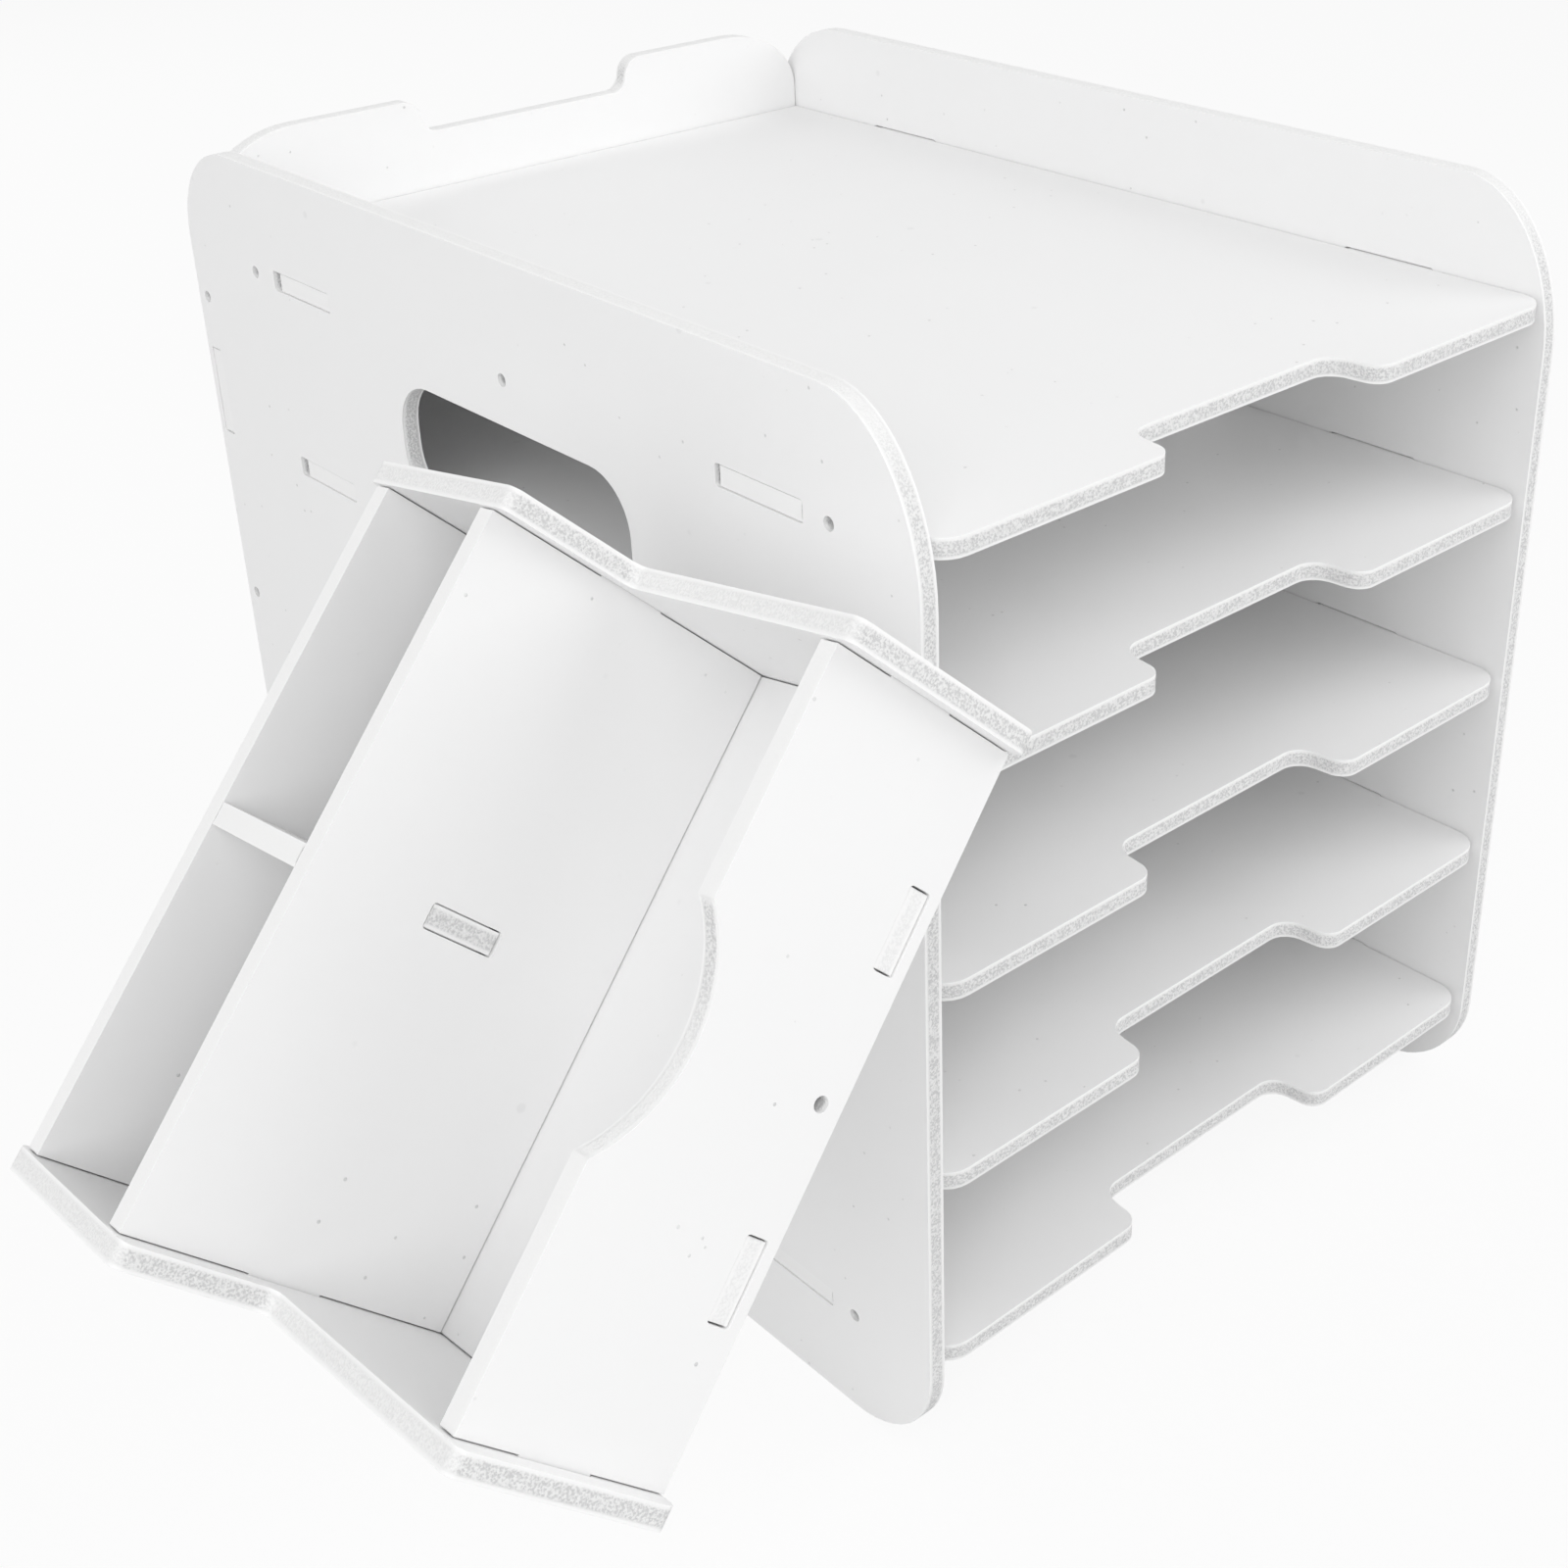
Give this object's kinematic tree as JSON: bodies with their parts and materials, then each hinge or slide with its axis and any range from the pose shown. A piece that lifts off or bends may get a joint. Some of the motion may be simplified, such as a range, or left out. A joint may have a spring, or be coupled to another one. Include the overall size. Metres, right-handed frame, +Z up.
{
  "type": "file sorter",
  "caption": "Desk file sorter of slotted white foam boards: level shelves with finger notches between rounded side panels and a back panel, with a loose stepped pen holder.",
  "frame": {"origin": "middle of the back panel's bottom edge, on the desk", "axes": "+X to the right as seen from the front, +Y to the back, +Z up; the shelves open towards -Y and the pen holder lies on the -X side"},
  "size_m": [0.401, 0.3625, 0.279],
  "materials": {
    "foam_board": "white closed-cell foam board with a satin skin and finely pitted cut edges"
  },
  "bodies": {
    "sorter": {"left_side_panel": "foam_board", "right_side_panel": "foam_board", "back_panel": "foam_board", "top_shelf": "foam_board", "upper_shelf": "foam_board", "middle_shelf": "foam_board", "lower_shelf": "foam_board", "bottom_shelf": "foam_board"},
    "pen_holder": {"pen_holder_left_end": "foam_board", "pen_holder_right_end": "foam_board", "pen_holder_back_wall": "foam_board", "pen_holder_middle_wall": "foam_board", "pen_holder_front_wall": "foam_board", "pen_holder_floor": "foam_board", "pen_holder_divider": "foam_board"}
  },
  "joints": [
    {"name": "pen_holder_lift", "type": "slide", "parent": "sorter", "child": "pen_holder", "axis": [-0.7071, 0, 0.7071], "range_m": [0, 0.15]}
  ]
}
